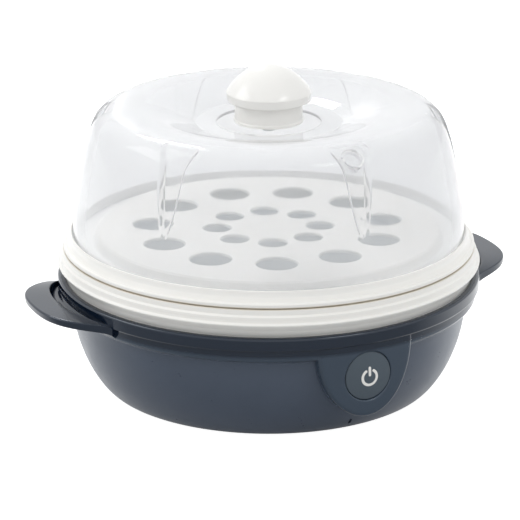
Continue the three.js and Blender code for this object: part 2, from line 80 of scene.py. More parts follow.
# ---- Sizes of the visible shapes ----------------------------------------
POD_R = RIM_R - 1.3  # face of the control pod, a cylinder about Z
POD_HALF = 33
POD_BOTTOM = 20.4
POD_ROUND_Z = 67  # where the pod's sides turn into its round bottom
POD_TOP = RIM_TOP - 8
POD_WALL = 2.6
POD_EDGE = 2.4  # rounding round the face
POD_BACK = 104
HOLE_R = BUTTON_R + 0.2

DRAIN_Z = 9  # a drain slot through the bowl's wall, under the pod
DRAIN_LENGTH = 4.2
DRAIN_WIDTH = 1.8
CORD_HOLE_R = 6.4
SCREW_RING = 82.5  # radius of the circle that the cover's four screws stand on

EAR_HALF_DEG = 21.5
EAR_TURN_DEG = -3.6  # the line through the ears, from the X axis
EAR_THICK = 4.8
EAR_LIFT = 4.6  # rise of the ear's plate over its root
GUTTER_Z = RIM_TOP - 7.6  # foot of the groove between the rim and an ear

SEAM_Z = TRAY_TOP - 10.1  # parting line between the tray's ring and the basket's

DOME_WALL = 1.8
DOME_TURN_DEG = -1.3  # the dome lies a little turned
FLUTES = 6
FLUTE_TIP_Z = 131
FLUTE_TOP_Z = 178
FLUTE_HALF = 9.6
FLUTE_DEPTH = 4.2
VENT_R = 7.6  # ring round the steam vent, in the front flute

KNOB_EDGE_Z = COLLAR_TOP + 6  # the cap's widest level, where its crown begins
KNOB_CROWN = 1.75  # 1 is an elliptical crown; above 1 its flanks are straighter

FINE = 192  # segments round the large pieces
MID = 96
SMALL = 40


# ---- Outline helpers ----------------------------------------------------
def hung(radius, top, points):
    """Profile points given as (inset from the radius, drop below the top, corner radius)."""
    return [(radius - p[0], top - p[1], p[2] if len(p) > 2 else 0) for p in points]


def smooth(points, steps=6):
    """A curve through every (radius, height) point, its tangents taken from the neighbours."""
    knots = [Vector(p[:2]) for p in points]
    along = [0.0]
    for a, b in zip(knots, knots[1:]):
        along.append(along[-1] + (b - a).length)

    def tangent(i):
        low, high = max(i - 1, 0), min(i + 1, len(knots) - 1)
        return (knots[high] - knots[low]) / (along[high] - along[low])

    curve = []
    for i in range(len(knots) - 1):
        reach = along[i + 1] - along[i]
        for s in range(steps):
            u = s / steps
            start = knots[i] * (2 * u**3 - 3 * u**2 + 1) + knots[i + 1] * (3 * u**2 - 2 * u**3)
            pull = tangent(i) * (u**3 - 2 * u**2 + u) + tangent(i + 1) * (u**3 - u**2)
            curve.append(tuple(start + pull * reach))
    curve.append(tuple(knots[-1]))
    return curve


def rounded(corners, steps=5):
    """A closed profile with each corner (radius, height, corner radius) turned into an arc.

    A profile whose ends lie on the axis keeps those two points as they are.
    """
    on_axis = corners[0][0] == 0 and corners[-1][0] == 0
    count = len(corners)
    path = []
    for i, corner in enumerate(corners):
        here = Vector(corner[:2])
        turn = corner[2] if len(corner) > 2 else 0
        if turn == 0 or (on_axis and i in (0, count - 1)):
            path.append(tuple(here))
            continue
        back = Vector(corners[i - 1][:2]) - here
        ahead = Vector(corners[(i + 1) % count][:2]) - here
        half = back.angle(ahead) / 2
        if half > math.radians(89.9):
            path += [tuple(here)] * (steps + 1)
            continue
        cut = min(turn / math.tan(half), back.length * 0.49, ahead.length * 0.49)
        middle = (back.normalized() + ahead.normalized()).normalized()
        centre = here + middle * (cut / math.cos(half))
        start = here + back.normalized() * cut - centre
        sweep = math.pi - 2 * half
        if back.x * ahead.y - back.y * ahead.x > 0:
            sweep = -sweep
        for s in range(steps + 1):
            path.append(tuple(centre + Matrix.Rotation(sweep * s / steps, 2) @ start))
    return path


def circle(radius, count, x=0.0, y=0.0):
    """Points round a circle in the XY plane."""
    turn = 2 * math.pi / count
    return [(x + radius * math.cos(i * turn), y + radius * math.sin(i * turn)) for i in range(count)]


def ring(count, radius, start_deg=0.0):
    """Centres evenly spaced on a circle."""
    turn = 2 * math.pi / count
    start = math.radians(start_deg)
    return [(radius * math.cos(start + i * turn), radius * math.sin(start + i * turn)) for i in range(count)]


def stadium(length, width, angle, x, y, arc=14):
    """A function that gives a bar outline with round ends, grown by an offset."""
    straight = (length - width) / 2
    turn = Matrix.Rotation(angle, 2)

    def outline(offset):
        points = []
        for side in (0, 1):
            for i in range(arc + 1):
                a = math.pi * (side - 0.5 + i / arc)
                reach = width / 2 + offset
                local = Vector(((1 - 2 * side) * straight + reach * math.cos(a), reach * math.sin(a)))
                points.append(tuple(turn @ local + Vector((x, y))))
        return points

    return outline


# ---- Mesh helpers -------------------------------------------------------
def skin(rows, loop=False):
    """A closed mesh over rows of points, each row a ring. With loop the last row meets the first."""
    bm = bmesh.new()
    made = [[bm.verts.new(Vector(p) * MM) for p in row] for row in rows]
    pairs = list(zip(made, made[1:]))
    if loop:
        pairs.append((made[-1], made[0]))
    for a, b in pairs:
        for i in range(len(a)):
            j = (i + 1) % len(a)
            bm.faces.new((a[i], a[j], b[j], b[i]))
    if not loop:
        bm.faces.new(list(reversed(made[0])))
        bm.faces.new(made[-1])
    bmesh.ops.remove_doubles(bm, verts=bm.verts, dist=1e-7)
    bmesh.ops.recalc_face_normals(bm, faces=bm.faces)
    return bm


def lathe(profile, segments=FINE):
    """A profile of (radius, height) turned about Z. It starts and ends on the axis, or closes on itself."""
    on_axis = profile[0][0] == 0 and profile[-1][0] == 0
    turn = 2 * math.pi / segments
    spokes = [(math.sin(i * turn), -math.cos(i * turn)) for i in range(segments)]
    rows = [[(r * s, r * c, z) for s, c in spokes] for r, z in profile]
    return skin(rows, loop=not on_axis)


def prism(outline, low, high):
    """A straight solid over an (x, y) outline, between two heights."""
    return skin([[(x, y, z) for x, y in outline] for z in (low, high)])


def moved(bm, matrix):
    bmesh.ops.transform(bm, matrix=matrix, verts=bm.verts)
    return bm


def shifted(bm, x=0.0, y=0.0, z=0.0):
    return moved(bm, Matrix.Translation(Vector((x, y, z)) * MM))


def at_button(bm):
    """Turns a lathe about Z into one about the button's axis, its heights running along -Y."""
    turn = Matrix.Rotation(math.pi / 2, 4, "X")
    return moved(bm, Matrix.Translation((0, 0, BUTTON_Z * MM)) @ turn)


def spool(outline, low, high, lip, steps=4):
    """A cutter whose hole gets rounded edges where it leaves the faces at low and high."""
    rows = [(low - 2, lip), (low - 0.01, lip)]
    for s in range(1, steps + 1):
        a = s / steps * math.pi / 2
        rows.append((low + lip * (1 - math.cos(a)), lip * (1 - math.sin(a))))
    for s in range(steps):
        a = s / steps * math.pi / 2
        rows.append((high - lip * (1 - math.sin(a)), lip * (1 - math.cos(a))))
    rows += [(high + 0.01, lip), (high + 2, lip)]
    return skin([[(x, y, z) for x, y in outline(offset)] for z, offset in rows])


def round_hole(radius, x, y, low, high, lip, count=SMALL):
    return spool(lambda offset: circle(radius + offset, count, x, y), low, high, lip)


def temporary(bm):
    mesh = bpy.data.meshes.new("scratch")
    bm.to_mesh(mesh)
    bm.free()
    obj = bpy.data.objects.new("scratch", mesh)
    bpy.context.scene.collection.objects.link(obj)
    return obj


def combined(bm, others, operation):
    """The mesh joined with, or cut by, each of the others in turn."""
    target = temporary(bm)
    tools = [temporary(other) for other in others]
    for tool in tools:
        change = target.modifiers.new("combine", "BOOLEAN")
        change.operation = operation
        change.solver = "MANIFOLD"
        change.object = tool
    graph = bpy.context.evaluated_depsgraph_get()
    result = bmesh.new()
    result.from_mesh(target.evaluated_get(graph).to_mesh())
    for obj in [target, *tools]:
        bpy.data.objects.remove(obj)
    return result


def merged(bms):
    """Separate meshes as one object's mesh."""
    whole = bmesh.new()
    for bm in bms:
        mesh = bpy.data.meshes.new("scratch")
        bm.to_mesh(mesh)
        bm.free()
        whole.from_mesh(mesh)
        bpy.data.meshes.remove(mesh)
    return whole


def piece(name, bm, look, body, slot, *nodes, sharp_deg=32):
    """Makes the object, shades it smooth but for its sharp edges, and ties it to the frame."""
    for edge in bm.edges:
        edge.smooth = edge.calc_face_angle(0.0) < math.radians(sharp_deg)
    for face in bm.faces:
        face.smooth = True
    mesh = bpy.data.meshes.new(name)
    bm.to_mesh(mesh)
    bm.free()
    mesh.materials.append(look)
    obj = bpy.data.objects.new(name, mesh)
    bpy.context.scene.collection.objects.link(obj)
    shading = obj.modifiers.new("shading", "WEIGHTED_NORMAL")
    shading.keep_sharp = True
    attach(obj, body)
    if nodes:
        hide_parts(*nodes)
    return obj


# ---- Material helpers ---------------------------------------------------
class Look:
    """A node material with its Principled shader and short ways to add nodes."""

    def __init__(self, name, **sockets):
        self.material = bpy.data.materials.new(name)
        self.material.use_nodes = True
        self.tree = self.material.node_tree
        self.shader = self.tree.nodes["Principled BSDF"]
        self.output = self.tree.nodes["Material Output"]
        self.place = self.node("ShaderNodeTexCoord").outputs["Object"]
        for socket, value in sockets.items():
            self.shader.inputs[socket.replace("_", " ").title()].default_value = value

    def node(self, kind, **settings):
        made = self.tree.nodes.new(kind)
        for key, value in settings.items():
            setattr(made, key, value)
        return made

    def feed(self, value, socket):
        """Sets a socket to a number or colour, or links it to an output."""
        if isinstance(value, bpy.types.NodeSocket):
            self.tree.links.new(value, socket)
        else:
            socket.default_value = value

    def stretched(self, scale):
        mapping = self.node("ShaderNodeMapping")
        self.feed(self.place, mapping.inputs["Vector"])
        mapping.inputs["Scale"].default_value = scale
        return mapping.outputs["Vector"]

    def noise(self, scale, detail=2.0, rough=0.5, vector=None):
        made = self.node("ShaderNodeTexNoise")
        self.feed(vector or self.place, made.inputs["Vector"])
        made.inputs["Scale"].default_value = scale
        made.inputs["Detail"].default_value = detail
        made.inputs["Roughness"].default_value = rough
        return made.outputs["Fac"]

    def spread(self, value, low, high, start=0.3, end=0.7):
        """A 0-1 pattern turned into a value between low and high."""
        made = self.node("ShaderNodeMapRange")
        for socket, number in (("From Min", start), ("From Max", end), ("To Min", low), ("To Max", high)):
            made.inputs[socket].default_value = number
        self.feed(value, made.inputs["Value"])
        return made.outputs["Result"]

    def math(self, operation, a, b=0.0):
        made = self.node("ShaderNodeMath", operation=operation)
        self.feed(a, made.inputs[0])
        self.feed(b, made.inputs[1])
        return made.outputs[0]

    def blend(self, share, first, second):
        """A colour between two colours."""
        made = self.node("ShaderNodeMix", data_type="RGBA")
        self.feed(share, made.inputs[0])
        self.feed(first, made.inputs[6])
        self.feed(second, made.inputs[7])
        return made.outputs[2]

    def bump(self, height, depth, under=None):
        """Relief of a 0-1 height, its depth in millimetres."""
        made = self.node("ShaderNodeBump")
        made.inputs["Distance"].default_value = depth * MM
        self.feed(height, made.inputs["Height"])
        if under:
            self.feed(under, made.inputs["Normal"])
        return made.outputs["Normal"]

    def wear(self):
        """A 0-1 pattern of smears and streaks left by handling."""
        smear = self.noise(70, 5, 0.65)
        streaks = self.noise(1, 3, 0.6, self.stretched((900, 60, 900)))
        return self.math("ADD", self.math("MULTIPLY", smear, 0.75), self.math("MULTIPLY", streaks, 0.25))

    def peel(self, depth):
        """The fine orange peel of a moulded surface."""
        relief = self.bump(self.noise(650, 2), depth)
        return self.bump(self.noise(2600, 1), depth * 0.3, relief)

    def height(self):
        """Height over the floor in metres, for a piece whose origin is the frame's."""
        split = self.node("ShaderNodeSeparateXYZ")
        self.feed(self.place, split.inputs[0])
        return split.outputs[2]

    def radius(self):
        """Distance from the Z axis in metres."""
        split = self.node("ShaderNodeSeparateXYZ")
        self.feed(self.place, split.inputs[0])
        x, y = split.outputs[0], split.outputs[1]
        return self.math("SQRT", self.math("ADD", self.math("MULTIPLY", x, x), self.math("MULTIPLY", y, y)))

    def shade(self, colour=None, roughness=None, normal=None):
        for socket, value in (("Base Color", colour), ("Roughness", roughness), ("Normal", normal)):
            if value is not None:
                self.feed(value, self.shader.inputs[socket])
        return self.material


def tone(colour, factor):
    return (*[min(c * factor, 1.0) for c in colour], 1.0)


# ---- Materials ----------------------------------------------------------
def moulded(name, colour, roughness, peel=0.012, variation=0.05, specular=0.5, **sockets):
    """Injection-moulded plastic: faint mottling, uneven gloss and a fine orange peel."""
    look = Look(name, **sockets)
    look.shader.inputs["Specular IOR Level"].default_value = specular
    mottle = look.spread(look.noise(22, 4, 0.6), 0, 1)
    shades = look.blend(mottle, tone(colour, 1 - variation), tone(colour, 1 + variation))
    wear = look.wear()
    gloss = look.spread(wear, roughness * 0.82, roughness * 1.2)
    return look.shade(shades, gloss, look.peel(peel))


def housing_plastic(name):
    """The base's plastic: polished on the rim, the ears and the pod, satin on the bowl, with a painted
    reflection that lightens the polished plastic below the rim band.
    """
    bowl_slate = (0.066, 0.084, 0.118, 1)
    rim_slate = (0.005, 0.011, 0.024, 1)
    # Painted reflection: the polished plastic below the rim band, where the pod is, gets this colour, lighter
    # than the rim's.
    pod_reflection_slate = (0.038, 0.056, 0.082, 1)
    look = Look(name)
    look.shader.inputs["Specular IOR Level"].default_value = 0.6
    look.shader.inputs["Specular Tint"].default_value = (0.85, 0.92, 1.0, 1)
    polished = look.spread(look.radius(), 0, 1, (RIM_R - 7.4) * MM, (RIM_R - 6.6) * MM)
    # Share of the painted reflection: 1 below the rim band, 0 on it.
    pod_reflection_share = look.spread(look.height(), 1, 0, (RIM_TOP - 14.5) * MM, (RIM_TOP - 12) * MM)
    shades = look.blend(polished, bowl_slate, look.blend(pod_reflection_share, rim_slate, pod_reflection_slate))
    mottle = look.spread(look.noise(22, 4, 0.6), 0.94, 1.06)
    shades = look.blend(mottle, (0, 0, 0, 1), shades)
    wear = look.wear()
    glossy_share = look.math("MULTIPLY", polished, look.spread(wear, 0.1, 0.17))
    satin_share = look.math("MULTIPLY", look.math("SUBTRACT", 1.0, polished), look.spread(wear, 0.26, 0.36))
    return look.shade(shades, look.math("ADD", glossy_share, satin_share), look.peel(0.01))


def white_plastic(name, colour):
    """White polypropylene with painted warm shade along the parting line and a faint glow low inside the
    basket.

    The glow stands for the light that soaks through the basket's walls.
    """
    # Painted shade: a warm brown darkening that stands for the shadow in the crease at the parting line.
    seam_shade_colour = (0.5, 0.42, 0.29, 1)
    glow_strength = 0.1
    look = Look(name, subsurface_weight=0.25, subsurface_scale=0.004)
    look.shader.inputs["Subsurface Radius"].default_value = (1.0, 0.95, 0.9)
    look.shader.inputs["Emission Color"].default_value = (0.72, 0.85, 1.0, 1)
    height = look.height()
    low = look.spread(height, 1, 0, 0.098, 0.1035)
    inside = look.spread(look.radius(), 1, 0, (BASKET_R - 8.5) * MM, (BASKET_R - 7.5) * MM)
    glow = look.math("MULTIPLY", look.math("MULTIPLY", low, inside), glow_strength)
    look.feed(glow, look.shader.inputs["Emission Strength"])
    # Painted shade along the parting line, kept off the basket's inside.
    from_seam = look.math("ABSOLUTE", look.math("SUBTRACT", height, SEAM_Z * MM))
    seam_shade_falloff = look.spread(from_seam, 0.8, 0, 0.0003, 0.0011)
    painted_seam_shade = look.math("MULTIPLY", seam_shade_falloff, look.math("SUBTRACT", 1.0, inside))
    mottle = look.spread(look.noise(22, 4, 0.6), 0, 1)
    shades = look.blend(mottle, tone(colour, 0.99), tone(colour, 1.01))
    shades = look.blend(painted_seam_shade, shades, seam_shade_colour)
    return look.shade(shades, look.spread(look.wear(), 0.28, 0.4), look.peel(0.012))


def clear_plastic(name):
    """Clear polypropylene: slightly milky, with moulding ripples. Lamps shine through it."""
    look = Look(name, transmission_weight=0.76)
    look.shader.inputs["IOR"].default_value = 1.25
    look.shader.inputs["Specular IOR Level"].default_value = 0.4
    haze = look.spread(look.noise(14, 3), 0, 1)
    tint = look.blend(haze, (0.912, 0.916, 0.926, 1), (0.932, 0.935, 0.944, 1))
    gloss = look.spread(look.noise(60, 4), 0.05, 0.1)
    relief = look.bump(look.noise(16, 2), 0.12)
    relief = look.bump(look.noise(420, 2), 0.006, relief)
    look.shade(tint, gloss, relief)
    rays = look.node("ShaderNodeLightPath")
    through = look.node("ShaderNodeBsdfTransparent")
    through.inputs["Color"].default_value = (0.96, 0.957, 0.955, 1)
    mix = look.node("ShaderNodeMixShader")
    look.feed(rays.outputs["Is Shadow Ray"], mix.inputs[0])
    look.feed(look.shader.outputs[0], mix.inputs[1])
    look.feed(through.outputs[0], mix.inputs[2])
    look.feed(mix.outputs[0], look.output.inputs["Surface"])
    return look.material


def brushed_rings(name, colour, roughness):
    """Sheet metal with a turned finish: fine rings about the Z axis."""
    look = Look(name, metallic=1.0)
    joined = look.node("ShaderNodeCombineXYZ")
    look.feed(look.radius(), joined.inputs[0])
    grooves = look.noise(2600, 3, 0.7, joined.outputs[0])
    stain = look.spread(look.noise(35, 4, 0.6), 0, 1)
    shades = look.blend(stain, tone(colour, 0.9), tone(colour, 1.04))
    gloss = look.spread(grooves, roughness * 0.75, roughness * 1.3)
    return look.shade(shades, gloss, look.bump(grooves, 0.02))


def metal(name, colour, roughness):
    look = Look(name, metallic=1.0)
    grain = look.noise(1, 3, 0.6, look.stretched((1500, 120, 1500)))
    shades = look.blend(look.spread(look.noise(60, 3), 0, 1), tone(colour, 0.92), tone(colour, 1.05))
    return look.shade(shades, look.spread(grain, roughness * 0.8, roughness * 1.25), look.bump(grain, 0.01))


def soft_rubber(name, colour, roughness):
    """Rubber and silicone: a dull, fine grain with a little dust."""
    look = Look(name)
    dust = look.spread(look.noise(160, 5, 0.7), 0, 1, 0.45, 0.75)
    shades = look.blend(dust, tone(colour, 0.95), tone(colour, 1.25))
    gloss = look.spread(look.noise(90, 3), roughness * 0.9, min(roughness * 1.1, 1))
    return look.shade(shades, gloss, look.bump(look.noise(1400, 3), 0.03))


def circuit_board(name):
    """Solder mask over copper tracks, with the odd tinned pad."""
    look = Look(name)
    tracks = look.node("ShaderNodeTexBrick")
    look.feed(look.stretched((1, 1, 1)), tracks.inputs["Vector"])
    tracks.inputs["Scale"].default_value = 330
    tracks.inputs["Mortar Size"].default_value = 0.03
    pads = look.node("ShaderNodeTexVoronoi", feature="DISTANCE_TO_EDGE")
    look.feed(look.place, pads.inputs["Vector"])
    pads.inputs["Scale"].default_value = 210
    copper = look.spread(pads.outputs["Distance"], 1, 0, 0.03, 0.06)
    lined = look.blend(tracks.outputs["Fac"], (0.012, 0.09, 0.03, 1), (0.03, 0.16, 0.05, 1))
    shades = look.blend(look.math("MULTIPLY", copper, 0.6), lined, (0.05, 0.22, 0.07, 1))
    return look.shade(shades, look.spread(look.noise(200), 0.3, 0.5), look.bump(copper, 0.03))


LOOKS = {
    "slate_gloss": housing_plastic("slate gloss"),
    "slate_matte": moulded("slate matte", (0.088, 0.11, 0.132), 0.5, peel=0.03, specular=0.15),
    "dark_liner": moulded("dark liner", (0.026, 0.031, 0.042), 0.4, peel=0.02),
    "white_plastic": white_plastic("white plastic", (0.885, 0.872, 0.835)),
    "white_knob": moulded("white knob", (0.868, 0.858, 0.828), 0.2, peel=0.008, variation=0.01),
    "clear_plastic": clear_plastic("clear plastic"),
    "brushed_plate": brushed_rings("brushed plate", (0.62, 0.62, 0.63), 0.28),
    "steel": metal("steel", (0.55, 0.56, 0.58), 0.3),
    "aluminium": metal("aluminium", (0.66, 0.67, 0.69), 0.38),
    "silicone": soft_rubber("silicone", (0.70, 0.68, 0.64), 0.55),
    "rubber": soft_rubber("rubber", (0.03, 0.03, 0.034), 0.75),
    "circuit_board": circuit_board("circuit board"),
    "lamp": moulded("lamp", (0.86, 0.87, 0.9), 0.15, peel=0.004, variation=0.02, transmission_weight=0.5),
}


# ---- Camera, light and floor --------------------------------------------
VIEW_AZIMUTH = math.radians(-27)
VIEW_ELEVATION = math.radians(18.6)
VIEW_DISTANCE = 2.0
VIEW_LENS = 212  # focal length in millimetres
VIEW_RIGHT = Vector((math.cos(VIEW_AZIMUTH), math.sin(VIEW_AZIMUTH), 0))
VIEW_AWAY = Vector((-math.sin(VIEW_AZIMUTH), math.cos(VIEW_AZIMUTH), 0))
AIM_LEFT = 0.0056  # the aim lies a little left of the axis and above the rim
AIM_UP = 0.0049

LAMP_DISTANCE = 1.6
LAMP_AIM = Vector((0, 0, 0.12))

WORLD_STRENGTH = 0.88
WORLD_EXTRA = {"Is Camera Ray": 0.12, "Is Glossy Ray": 0.24, "Is Transmission Ray": -0.12}

FLOOR_HALF = 5.0
FLOOR_SEEN = 0.95  # the floor's glow where the camera sees it directly
FLOOR_THROUGH = 0.5  # its glow where it is seen through the dome
FLOOR_MIRRORED = 0.95  # its glow where the object mirrors it, past the far end of the ramp
FLOOR_RAMP = (-0.13, 0.02)  # where that glow starts and is full, from the Z axis away from the camera


def add_camera():
    camera = bpy.data.objects.new("camera", bpy.data.cameras.new("camera"))
    bpy.context.scene.collection.objects.link(camera)
    camera.data.lens = VIEW_LENS
    camera.data.clip_start = 0.1
    camera.data.clip_end = 30
    back = -VIEW_AWAY * math.cos(VIEW_ELEVATION) + Vector((0, 0, math.sin(VIEW_ELEVATION)))
    up = VIEW_RIGHT.cross(-back)
    aim = Vector((0, 0, RIM_TOP * MM)) - VIEW_RIGHT * AIM_LEFT + up * AIM_UP
    camera.location = aim + back * VIEW_DISTANCE
    camera.rotation_mode = "QUATERNION"
    camera.rotation_quaternion = back.to_track_quat("Z", "Y")
    bpy.context.scene.camera = camera


def softbox(name, direction, width, height, radiance):
    """A rectangular lamp, its direction given as right, away and up of the object."""
    right, away, up = direction
    towards = (VIEW_RIGHT * right + VIEW_AWAY * away + Vector((0, 0, up))).normalized()
    data = bpy.data.lights.new(name, "AREA")
    data.shape = "RECTANGLE"
    data.size = width
    data.size_y = height
    data.energy = radiance * math.pi * width * height
    lamp = bpy.data.objects.new(name, data)
    bpy.context.scene.collection.objects.link(lamp)
    lamp.location = LAMP_AIM + towards * LAMP_DISTANCE
    lamp.rotation_mode = "QUATERNION"
    lamp.rotation_quaternion = towards.to_track_quat("Z", "Y")


def add_world():
    """An even white surround, brighter where it is seen or mirrored than where it only lights.

    Rough rays through the dome count as mirrored ones too, so they have a share taken off again.
    """
    world = bpy.data.worlds.new("studio")
    world.use_nodes = True
    bpy.context.scene.world = world
    tree = world.node_tree
    surround = tree.nodes["Background"]
    surround.inputs["Color"].default_value = (0.985, 0.992, 1, 1)
    rays = tree.nodes.new("ShaderNodeLightPath")
    strength = tree.nodes.new("ShaderNodeValue").outputs[0]
    strength.default_value = WORLD_STRENGTH
    for ray, extra in WORLD_EXTRA.items():
        more = tree.nodes.new("ShaderNodeMath")
        more.operation = "MULTIPLY_ADD"
        tree.links.new(rays.outputs[ray], more.inputs[0])
        more.inputs[1].default_value = extra
        tree.links.new(strength, more.inputs[2])
        strength = more.outputs[0]
    tree.links.new(strength, surround.inputs["Strength"])


def add_floor():
    """A pale table whose shadows are washed out for the camera.

    The object mirrors it bright beside and behind itself and dark in front.
    """
    look = Look("floor", roughness=0.9)
    look.shader.inputs["Emission Color"].default_value = (1, 1, 1, 1)
    rays = look.node("ShaderNodeLightPath")
    seen = look.math("MULTIPLY", rays.outputs["Is Camera Ray"], FLOOR_SEEN)
    away = look.node("ShaderNodeVectorMath", operation="DOT_PRODUCT")
    look.feed(look.place, away.inputs[0])
    away.inputs[1].default_value = VIEW_AWAY
    beside = look.spread(away.outputs["Value"], 0, FLOOR_MIRRORED, *FLOOR_RAMP)
    through = rays.outputs["Is Transmission Ray"]
    mirrored = look.math("MULTIPLY", rays.outputs["Is Glossy Ray"], look.math("SUBTRACT", 1.0, through))
    mirrored = look.math("MULTIPLY", mirrored, beside)
    seen = look.math("ADD", seen, look.math("MULTIPLY", through, FLOOR_THROUGH))
    look.feed(look.math("ADD", seen, mirrored), look.shader.inputs["Emission Strength"])
    grain = look.noise(3, 2)
    look.shade(look.blend(grain, (0.5, 0.505, 0.51, 1), (0.53, 0.535, 0.54, 1)))
    bm = bmesh.new()
    signs = ((-1, -1), (1, -1), (1, 1), (-1, 1))
    bm.faces.new([bm.verts.new((x * FLOOR_HALF, y * FLOOR_HALF, 0)) for x, y in signs])
    mesh = bpy.data.meshes.new("floor")
    bm.to_mesh(mesh)
    bm.free()
    mesh.materials.append(look.material)
    floor = bpy.data.objects.new("floor", mesh)
    bpy.context.scene.collection.objects.link(floor)


add_camera()
add_world()
add_floor()
softbox("key", (-0.785, 0, 0.605), width=1.0, height=0.6, radiance=2.8)
softbox("fill", (0.51, -0.456, 0.72), width=0.5, height=0.25, radiance=6)
softbox("window", (-0.2, 0.735, 0.64), width=0.17, height=0.34, radiance=18)
bpy.context.scene.view_settings.view_transform = "Standard"


# ---- Base housing -------------------------------------------------------
def pod_outline(inset, top):
    """The pod's U shape seen from the front as (x, z) points, shrunk by the inset."""
    half = POD_HALF - inset
    deep = POD_ROUND_Z - POD_BOTTOM - inset
    side = 14
    arc = 60
    across = 30
    points = [(half, top - (top - POD_ROUND_Z) * i / side) for i in range(side)]
    for i in range(arc):
        angle = math.pi * i / arc
        points.append((half * math.cos(angle), POD_ROUND_Z - deep * math.sin(angle)))
    points += [(-half, POD_ROUND_Z + (top - POD_ROUND_Z) * i / side) for i in range(side)]
    points += [(-half + 2 * half * i / across, top) for i in range(across)]
    return points


def on_drum(x, z, radius):
    """A point in front of the Z axis on a cylinder of that radius."""
    return (x, -math.sqrt(radius**2 - x**2), z)


def pod_body():
    """The pod as a solid with a rounded edge round its face and round the button's hole."""
    edge_steps = 6
    lip = 1.1
    outer = pod_outline(POD_EDGE, POD_TOP)

    def hole(grow):
        points = []
        for x, z in outer:
            angle = math.atan2(z - BUTTON_Z, x)
            points.append(((HOLE_R + grow) * math.cos(angle), BUTTON_Z + (HOLE_R + grow) * math.sin(angle)))
        return points

    rows = [[(x, -POD_BACK, z) for x, z in hole(0)]]
    for s in range(edge_steps + 1):
        a = s / edge_steps * math.pi / 2
        radius = POD_R - lip * (1 - math.sin(a))
        rows.append([on_drum(x, z, radius) for x, z in hole(lip * (1 - math.cos(a)))])
    face_steps = 8
    start = hole(lip)
    for s in range(1, face_steps + 1):
        share = s / face_steps
        row = []
        for (x0, z0), (x1, z1) in zip(start, outer):
            row.append(on_drum(x0 + (x1 - x0) * share, z0 + (z1 - z0) * share, POD_R))
        rows.append(row)
    for s in range(1, edge_steps + 1):
        a = s / edge_steps * math.pi / 2
        turned_in = POD_EDGE * (1 - math.sin(a))
        depth = POD_EDGE * (1 - math.cos(a))
        rows.append([on_drum(x, z, POD_R - depth) for x, z in pod_outline(turned_in, POD_TOP)])
    rows.append([(x, -POD_BACK, z) for x, z in pod_outline(0, POD_TOP)])
    return skin(rows, loop=True)


def pod_hollow():
    """The space behind the pod's face."""
    outline = pod_outline(POD_WALL, POD_TOP - 3.2)
    radius = POD_R - POD_WALL
    rings = 6
    rows = [[(x, -POD_BACK + 1, z) for x, z in outline]]
    for s in range(rings):
        share = 1 - s / rings
        rows.append([on_drum(x * share, BUTTON_Z + (z - BUTTON_Z) * share, radius) for x, z in outline])
    rows.append([on_drum(0, BUTTON_Z, radius)] * len(outline))
    return skin(rows)


def ear(side):
    """A round tab beyond a groove, growing out of the rim band round one end of the X axis."""
    root = RIM_R - 3.6
    root_under = 61.6
    steps = 72
    rows = []
    for s in range(steps + 1):
        share = math.sin((s / steps - 0.5) * math.pi)
        opened = max(1 - abs(share) ** 3.4, 0) ** 1.4
        reach = RIM_R + 0.6 + (EAR_R - RIM_R - 0.6) * opened - root
        top = GUTTER_Z + EAR_LIFT * math.sqrt(opened)
        groove = GUTTER_Z - 1.6 * opened
        under = top - EAR_THICK
        gusset = root_under + 0.8 + (under - root_under - 0.8) * 0.35 * opened
        section = [
            (0.0, GUTTER_Z + 0.2, 0),
            (0.13, GUTTER_Z, 0.8),
            (0.19, groove, 2.2),
            (0.34, groove, 3.2),
            (0.4, top - 0.2, 1.8),
            (0.5, top - 0.1, 2),
            (1.0, top, 1.3),
            (0.99, under, 1.9),
            (0.5, under - 1.6, 5),
            (0.22, gusset, 5),
            (0.0, root_under, 0),
        ]
        corners = [(root + reach * t, z, turn and turn * opened + 0.01) for t, z, turn in section]
        angle = math.radians(share * EAR_HALF_DEG + EAR_TURN_DEG) + (math.pi if side < 0 else 0)
        rows.append([(r * math.cos(angle), r * math.sin(angle), z) for r, z in rounded(corners)])
    return skin(rows)


def housing_shell():
    wall = smooth([p[:2] for p in hung(RIM_R, RIM_TOP, [
        (39.5, 76.1), (34.3, 75.4), (29.7, 73.2), (24.5, 67.4), (18.5, 57.4), (13.5, 45), (10.5, 33.5),
        (8.9, 22),
    ])], 8)
    band = rounded([wall[-1], *hung(RIM_R, RIM_TOP, [
        (8.4, 18.4, 2), (3.1, 15.9, 1.2), (2.3, 14.4, 0.8), (2.2, 8.7, 0.3), (0.7, 8.5, 0.5), (0, 7.5, 0.5),
        (0, 0, 1.7), (4.5, 0, 0.9), (4.5, 7, 0.6), (11.1, 7, 0.6), (11.1, 9.4, 0.4), (5.1, 9.6, 0.4),
        (5.5, 14, 2), (11.1, 18, 2),
    ])], 5)
    inside = smooth([p[:2] for p in hung(RIM_R, RIM_TOP, [
        (11.4, 20), (13.2, 34), (16.3, 44), (20.9, 55), (26.9, 64.4), (32.1, 68.4), (42.5, 69.6),
    ])], 4)
    lip = [p[:2] for p in hung(RIM_R, RIM_TOP, [(50, 69.6), (50, 71.6), (44.1, 71.6), (44.1, 75.9)])]
    return lathe([*wall[:-1], *band, *inside, *lip])


def housing_core():
    """The space inside the housing's wall, which trims the back of the pod."""
    inside = [p[:2] for p in hung(RIM_R, RIM_TOP, [
        (42.5, 69.6), (32.1, 68.4), (26.9, 64.4), (20.9, 55), (16.3, 44), (13.2, 34), (11.2, 19), (11.2, -3),
    ])]
    return lathe([(0, inside[0][1]), *inside, (0, inside[-1][1])], MID)


